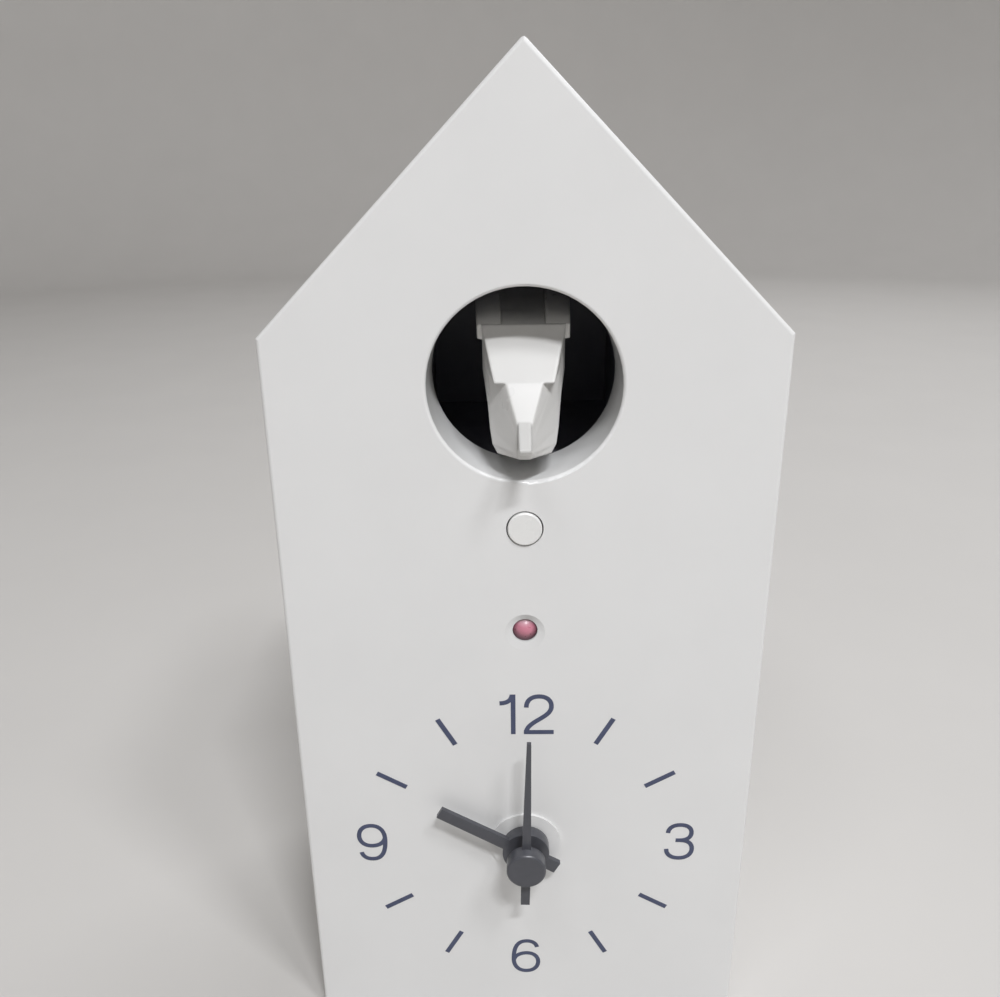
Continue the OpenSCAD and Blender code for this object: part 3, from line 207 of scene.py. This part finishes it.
def moulded(name, colour, roughness, grain=0.35, relief=0.006, mottle=0.012, edge=0,
            **sockets):
    """Injection-moulded plastic: a fine spark-eroded grain and faint flow marks."""
    finish = Finish(name, colour, roughness, **sockets)
    if edge:
        finish.rounded(edge)
    finish.tint(finish.noise(26, 2), mottle)
    finish.polish(finish.noise(9, 4), 0.05)
    return finish.bump(finish.noise(grain, 2), relief)


def metal(name, colour, roughness, brushed=(1, 1, 1)):
    """Bare metal with fine tool marks, drawn out along the axis whose stretch is small."""
    finish = Finish(name, colour, roughness, Metallic=1.0)
    finish.tint(finish.noise(5, 3), 0.05)
    finish.polish(finish.noise(0.5, 3, brushed), 0.08)
    return finish.bump(finish.noise(0.25, 3, brushed), 0.002)


def lens_centre():
    """Where the lens is on the front face (x, z), in millimetres."""
    low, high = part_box("sensor_lens")
    centre = (low + high) / 2 / MM
    return centre.x, centre.z


def case_finish():
    """The white case: textured outside, and glossy in the tunnel behind the hole."""
    finish = moulded("white_case", (0.735, 0.735, 0.73), 0.44, grain=0.45, relief=0.007)
    tunnel_edge = (HOLE_R + 0.2, HOLE_R + 1.4)
    gloss = finish.spread(finish.away((0, HOLE_Z / MM)), -0.28, 0, tunnel_edge)
    dull = finish.spread(finish.noise(9, 4), 0.40, 0.48)
    finish.link(finish.sum(dull, gloss), finish.shader.inputs["Roughness"])
    in_dish = finish.spread(finish.away(lens_centre()), 1, 0, (DISH_R, DISH_R + 0.1))
    return finish.flattened(0.78, in_dish)


def circuit_finish(name):
    """Green solder mask over copper tracks that show as faint raised lines."""
    finish = Finish(name, (0.012, 0.095, 0.035), 0.28, Coat_Weight=0.4)
    tracks = finish.spread(finish.waves(2.2, "X", 3.0), 0, 1, (0.55, 0.7))
    finish.blend(tracks, (0.03, 0.16, 0.06))
    return finish.bump(tracks, 0.03)


def winding_finish():
    """Enamelled copper wire, laid side by side along the coil."""
    finish = Finish("copper_winding", (0.46, 0.13, 0.045), 0.3, Metallic=0.85)
    finish.tint(finish.noise(1.4, 3), 0.10)
    return finish.bump(finish.waves(0.22, "X"), 0.06)


def paper_finish():
    """Matt black cone paper with pressed fibres."""
    finish = Finish("cone_paper", (0.018, 0.018, 0.02), 0.85)
    finish.tint(finish.noise(0.5, 5), 0.35)
    return finish.bump(finish.noise(0.3, 6), 0.03)


def lens_finish():
    """A glossy dome of clear red plastic over the sensor: pale at its top from a painted highlight, dark at its
    rim from painted shade.
    """
    finish = Finish("red_lens", (0.62, 0.21, 0.29), 0.3, Transmission_Weight=0.1, IOR=1.49)
    finish.shader.inputs["Coat Weight"].default_value = 0.8
    finish.shader.inputs["Coat Roughness"].default_value = 0.4
    x, z = lens_centre()
    out = finish.spread(finish.away((x, z)), 0, 1, (0, LENS_R))
    # painted shade: the rim, mostly its lower part, is darkened towards a deep red
    painted_rim_shade = finish.spread(finish.away((x, z + 0.7)), 0, 1, (1.8, 3.4))
    finish.blend(painted_rim_shade, (0.15, 0.03, 0.06))
    # painted highlight: the top of the lens is blended towards a pale pink
    painted_top_highlight = finish.spread(finish.away((x, z + 3.6)), 0.8, 0, (0.7, 3.0))
    finish.blend(painted_top_highlight, (0.66, 0.5, 0.54))
    finish.polish(finish.noise(1.5, 3), 0.04)
    dome = finish.sum(1, finish.sum(out, 2, "POWER"), "SUBTRACT")
    return finish.bump(dome, 1.2)


def sleeve_finish():
    """The cells' shrunk sleeves: glossy film."""
    finish = Finish("cell_sleeve", (0.045, 0.10, 0.19), 0.24, Coat_Weight=0.5)
    finish.tint(finish.noise(4, 3), 0.06)
    return finish.bump(finish.noise(2.2, 2), 0.02)


def spun_finish(name, colour, roughness):
    """Ground ceramic or metal with a dusty surface."""
    finish = Finish(name, colour, roughness)
    finish.tint(finish.noise(0.8, 4), 0.18)
    return finish.bump(finish.noise(0.25, 4), 0.01)


def ink_finish():
    """Pad-printed ink: slightly raised, slightly uneven and duller than the case."""
    finish = Finish("dial_ink", (0.058, 0.070, 0.130), 0.5)
    finish.tint(finish.noise(3.0, 4), 0.10)
    return finish.bump(finish.noise(0.25, 3), 0.004)


def hand_finish():
    """Grey paint on the hands, with a fine orange peel."""
    finish = Finish("hand_paint", (0.062, 0.064, 0.075), 0.36, Coat_Weight=0.2)
    finish.shader.inputs["Coat Roughness"].default_value = 0.25
    finish.tint(finish.noise(2.5, 3), 0.06)
    finish.polish(finish.noise(1.2, 3), 0.05)
    return finish.bump(finish.noise(0.5, 3), 0.004)


def dress(finish, *names):
    """Gives CAD nodes a finish."""
    for name in names:
        nodes[name].data.materials.clear()
        nodes[name].data.materials.append(finish.material)


steel = metal("bright_steel", (0.60, 0.61, 0.62), 0.26)
black = moulded("black_plastic", (0.016, 0.016, 0.019), 0.40, grain=0.5, relief=0.006, mottle=0.08)
acetal = moulded("natural_acetal", (0.80, 0.78, 0.70), 0.36, relief=0.002,
                 Subsurface_Weight=0.15, Subsurface_Scale=0.6 * MM)

dress(case_finish(), "front_shell")
dress(moulded("white_cover", (0.72, 0.72, 0.715), 0.46, grain=0.5, relief=0.009), "back_cover")
dress(moulded("white_door", (0.725, 0.725, 0.72), 0.45, grain=0.5, relief=0.009), "battery_door")
smooth = {"roughness": 0.32, "grain": 0.6, "relief": 0.003, "edge": 0.9}
# painted light: the bird's slight warm cast stands in for the warm tone of its shade, and the wings, the same
# white plastic as the body, are made lighter and warmer to stand in for light reaching them in the shade under the
# hole's rim
dress(moulded("bird_white", (0.595, 0.59, 0.575), **smooth), "bird_body")
dress(moulded("wing_white_painted_light", (0.74, 0.73, 0.705), **smooth), "bird_wings")
dress(moulded("white_button", (0.76, 0.76, 0.745), 0.28, grain=0.5, relief=0.002), "push_button")
dress(hand_finish(), "hour_hand", "minute_hand")
dress(lens_finish(), "sensor_lens")
dress(moulded("housing_slate", (0.25, 0.255, 0.30), 0.36, grain=0.5, relief=0.006, mottle=0.08),
      "bird_housing")
dress(black, "slide_frame", "gear_plate", "movement_front", "movement_back", "board_parts",
      "switch_plunger")
dress(moulded("knob_black", (0.022, 0.022, 0.024), 0.36, grain=0.3), "set_knob", "volume_knob")
dress(moulded("basket_black", (0.03, 0.03, 0.032), 0.5), "speaker_basket")
dress(acetal, "bird_carriage", "rack_gear", "middle_gear", "minute_wheel", "hour_wheel")
dress(steel, "cover_screws", "housing_screws", "frame_screws", "plate_screws", "motor_screws",
      "board_screws", "speaker_screws", "carriage_screw", "gear_axles", "movement_stator",
      "slide_switch")
dress(metal("ground_rod", (0.66, 0.67, 0.68), 0.16, brushed=(6, 0.3, 6)), "guide_rods")
dress(metal("zinc_can", (0.52, 0.53, 0.54), 0.34, brushed=(0.4, 0.4, 5)), "drive_motor")
dress(metal("turned_brass", (0.72, 0.53, 0.22), 0.26, brushed=(5, 0.6, 5)),
      "motor_pinion", "centre_arbor")
dress(metal("dark_nut", (0.17, 0.17, 0.18), 0.36), "shaft_nut")
dress(metal("nickel", (0.70, 0.68, 0.63), 0.20), "battery_contacts", "button_switch")
dress(circuit_finish("control_mask"), "control_board")
dress(circuit_finish("movement_mask"), "movement_board")
dress(winding_finish(), "movement_coil")
dress(paper_finish(), "speaker_cone")
dress(sleeve_finish(), "batteries")
dress(spun_finish("ferrite", (0.06, 0.06, 0.065), 0.6), "speaker_magnet")
dress(spun_finish("sensor_face", (0.50, 0.28, 0.13), 0.45), "light_sensor")


# ---------------------------------------------------------------- soft edges

def soften(name, width, angle=25, segments=3):
    """Rounds a node's sharp edges by width millimetres with modifiers."""
    piece = nodes[name]
    weld = piece.modifiers.new("weld", "WELD")
    weld.merge_threshold = 1e-6
    bevel = piece.modifiers.new("bevel", "BEVEL")
    bevel.width = width * MM
    bevel.segments = segments
    bevel.limit_method = "ANGLE"
    bevel.angle_limit = math.radians(angle)
    bevel.harden_normals = True


for name in ("bird_body", "bird_wings"):
    soften(name, 0.35)
for name in ("hour_hand", "minute_hand"):
    soften(name, 0.12, angle=40, segments=2)
soften("battery_door", 0.25, angle=40, segments=2)
soften("volume_knob", 0.25, angle=40, segments=2)


# ---------------------------------------------------------------- printed dial

INK_T = 0.05        # thickness of the print
INK_SINK = 0.01     # how far it goes into the front face
INK_STEP = 0.008    # rise of the print along a stroke, so that crossings don't coincide
STROKE = 1.22       # stroke width of the numerals
BAR = (1.3, 8.9)    # width and length of an hour bar
BAR_AT = 41.3       # distance of a bar's middle from the hands' axis
CURVE_STEPS = 14


def curve(*points):
    """Points along joined cubic curves: a start, then two handles and an end for each curve."""
    path = [Vector(points[0])]
    for i in range(1, len(points), 3):
        a, (b, c, d) = path[-1], map(Vector, points[i:i + 3])
        for k in range(1, CURVE_STEPS + 1):
            t = k / CURVE_STEPS
            path.append(a * (1 - t) ** 3 + b * 3 * t * (1 - t) ** 2
                        + c * 3 * t * t * (1 - t) + d * t ** 3)
    return path


def line(*points):
    """A straight stroke's centreline."""
    return [Vector(p) for p in points]


# Centrelines of the numerals in millimetres, from the middle of the foot
ONE = [
    line((0, 0), (0, 12.0)),
    curve((-3.5, 9.4), (-1.7, 9.4), (-0.5, 10.1), (-0.25, 11.9)),
]
TWO = [
    curve((-3.25, 8.1), (-3.25, 10.3), (-1.9, 11.4), (0.1, 11.4),
          (2.0, 11.4), (3.25, 10.2), (3.25, 8.5),
          (3.25, 6.6), (1.7, 5.6), (0.1, 4.5),
          (-1.7, 3.3), (-3.05, 2.3), (-3.3, 0.65)),
    line((-3.9, 0.61), (3.9, 0.61)),
]
THREE = [
    curve((-3.3, 9.1), (-3.2, 10.9), (-1.9, 11.8), (0, 11.8),
          (1.9, 11.8), (3.1, 10.8), (3.1, 9.2),
          (3.1, 7.6), (2.0, 6.7), (0.1, 6.65)),
    line((-1.1, 6.65), (0.3, 6.65)),
    curve((0.1, 6.65), (2.4, 6.65), (3.5, 5.4), (3.5, 3.7),
          (3.5, 1.8), (2.1, 0.61), (0, 0.61),
          (-2.1, 0.61), (-3.5, 1.8), (-3.5, 3.7)),
]
SIX = [
    curve((3.2, 9.6), (2.9, 11.1), (1.8, 11.9), (0.2, 11.9),
          (-2.4, 11.9), (-3.55, 9.6), (-3.55, 5.2),
          (-3.55, 2.4), (-2.2, 0.61), (0.1, 0.61),
          (2.2, 0.61), (3.55, 2.0), (3.55, 4.1),
          (3.55, 6.1), (2.2, 7.4), (0.2, 7.4),
          (-1.9, 7.4), (-3.4, 6.2), (-3.55, 4.4)),
]
SIX_H = 12.5


def turned_over(paths, height):
    """The strokes of a numeral turned upside down on the same foot."""
    return [[Vector((-p.x, height - p.y)) for p in path] for path in paths]


def ribbon(path, width):
    """Left and right edges of a stroke along a path."""
    edges = []
    for i, p in enumerate(path):
        ahead = path[min(i + 1, len(path) - 1)] - path[max(i - 1, 0)]
        side = Vector((-ahead.y, ahead.x)).normalized() * width / 2
        edges.append((p + side, p - side))
    return edges


def printed(name, strokes, width, at):
    """A printed piece on the front face from strokes placed at (x, z) from the hands' axis."""
    vertices, faces = [], []
    back = FRONT_Y + INK_SINK * MM
    for number, path in enumerate(strokes):
        start = len(vertices)
        edges = ribbon(path, width)
        for i, pair in enumerate(edges):
            front = FRONT_Y - (INK_T + INK_STEP * (number + i / len(edges))) * MM
            for y in (front, back):
                vertices += [(DIAL.x + (at[0] + p.x) * MM, y, DIAL.z + (at[1] + p.y) * MM)
                             for p in pair]
        for k in range(len(edges) - 1):
            a, b = start + 4 * k, start + 4 * k + 4
            faces += [(a + i, a + j, b + j, b + i) for i, j in ((0, 1), (1, 3), (3, 2), (2, 0))]
        last = start + 4 * (len(edges) - 1)
        faces += [(start, start + 2, start + 3, start + 1), (last, last + 1, last + 3, last + 2)]
    mesh = bpy.data.meshes.new(name)
    mesh.from_pydata(vertices, [], faces)
    mesh.materials.append(ink)
    piece = bpy.data.objects.new(name, mesh)
    bpy.context.scene.collection.objects.link(piece)
    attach(piece, "house")


def hour_bar(hour):
    """The centreline of the bar at an hour."""
    angle = math.radians(30 * hour)
    out = Vector((math.sin(angle), math.cos(angle)))
    return [out * (BAR_AT - BAR[1] / 2), out * (BAR_AT + BAR[1] / 2)]


ink = ink_finish().material
printed("dial_bars", [hour_bar(h) for h in (1, 2, 4, 5, 7, 8, 10, 11)], BAR[0], (0, 0))
printed("numeral_12_one", ONE, STROKE, (-3.15, 35.05))
printed("numeral_12_two", TWO, STROKE, (3.5, 35.05))
printed("numeral_3", THREE, STROKE, (42.2, -6.2))
printed("numeral_6", SIX, STROKE, (0, -47.4))
printed("numeral_9", turned_over(SIX, SIX_H), STROKE, (-42.2, -6.25))


# ---------------------------------------------------------------- floor, light and camera

FLOOR_R = 1.9       # where the floor starts to rise
SWEEP_R = 0.5       # radius of its sweep into the wall
WALL_H = 2.6        # top of the wall
LIGHT_AWAY = 2.1    # distance of the lights from the front face
LIGHT_AIM_Z = 0.15  # height that they face
CAMERA_TURN = (20.34, -0.82, -0.73)         # degrees down, to the right and anticlockwise
CAMERA_FROM_DIAL = (-3.0, -199.1, 174.6)    # its place in millimetres from the hands' axis
CAMERA_LENS = 32.37                         # focal length on a sensor 36 mm wide


def floor_sweep():
    """A round floor that sweeps up into a wall all round."""
    profile = [(0.0, 0.0), (FLOOR_R, 0.0)]
    profile += [(FLOOR_R + SWEEP_R * math.sin(a), SWEEP_R * (1 - math.cos(a)))
                for a in (math.radians(7.5 * k) for k in range(1, 13))]
    profile.append((FLOOR_R + SWEEP_R, WALL_H))
    turns = 96
    vertices = [(r * math.cos(2 * math.pi * k / turns), r * math.sin(2 * math.pi * k / turns), z)
                for r, z in profile for k in range(turns)]
    faces = [(i * turns + k, i * turns + (k + 1) % turns,
              (i + 1) * turns + (k + 1) % turns, (i + 1) * turns + k)
             for i in range(len(profile) - 1) for k in range(turns)]
    mesh = bpy.data.meshes.new("floor")
    mesh.from_pydata(vertices, [], faces)
    mesh.shade_smooth()
    finish = Finish("floor", (0.56, 0.545, 0.525), 0.7)
    mesh.materials.append(finish.tint(finish.noise(90, 3), 0.01).material)
    floor = bpy.data.objects.new("floor", mesh)
    bpy.context.scene.collection.objects.link(floor)


def soft_light(name, turn, rise, size, power):
    """An area light that faces the clock, turn degrees to its right and rise degrees up."""
    light = bpy.data.lights.new(name, "AREA")
    light.shape = "RECTANGLE"
    light.size, light.size_y = size
    light.energy = power
    light.color = (0.965, 0.975, 1.0)
    lamp = bpy.data.objects.new(name, light)
    bpy.context.scene.collection.objects.link(lamp)
    turn, rise = math.radians(turn), math.radians(rise)
    out = Vector((math.sin(turn) * math.cos(rise), -math.cos(turn) * math.cos(rise),
                  math.sin(rise)))
    lamp.location = Vector((0, FRONT_Y, LIGHT_AIM_Z)) + out * LIGHT_AWAY
    lamp.rotation_euler = out.to_track_quat("Z", "Y").to_euler()


def studio():
    """A faint warm surround, three lights in front and one behind."""
    world = bpy.data.worlds.new("studio")
    bpy.context.scene.world = world
    world.use_nodes = True
    background = world.node_tree.nodes["Background"]
    background.inputs["Color"].default_value = (1.0, 0.92, 0.82, 1)
    background.inputs["Strength"].default_value = 0.08
    # a thin strip throws the shadows of the hole's rim and of the beak
    soft_light("key", 18, 54, (0.42, 0.08), 26)
    soft_light("right", 45, 55, (0.30, 0.40), 12)
    soft_light("left", -30, 62, (0.62, 0.50), 6.6)
    # the light behind leaves the front face alone
    soft_light("behind", 150, 44, (1.2, 0.8), 15)
    bpy.context.scene.view_settings.view_transform = "Standard"


def camera():
    """The camera of the photograph, placed from the hands' axis on the front face."""
    pitch, yaw, roll = (math.radians(angle) for angle in CAMERA_TURN)
    ahead = Vector((math.sin(yaw) * math.cos(pitch), math.cos(yaw) * math.cos(pitch),
                    -math.sin(pitch)))
    level = Vector((math.cos(yaw), -math.sin(yaw), 0))
    above = level.cross(ahead)
    right = level * math.cos(roll) + above * math.sin(roll)
    up = above * math.cos(roll) - level * math.sin(roll)
    view = Matrix((right, up, -ahead)).transposed().to_4x4()
    view.translation = DIAL + Vector(CAMERA_FROM_DIAL) * MM
    lens = bpy.data.cameras.new("camera")
    lens.lens = CAMERA_LENS
    lens.sensor_width = 36
    lens.clip_start = 0.005
    seen = bpy.data.objects.new("camera", lens)
    bpy.context.scene.collection.objects.link(seen)
    seen.matrix_world = view
    bpy.context.scene.camera = seen


floor_sweep()
studio()
camera()
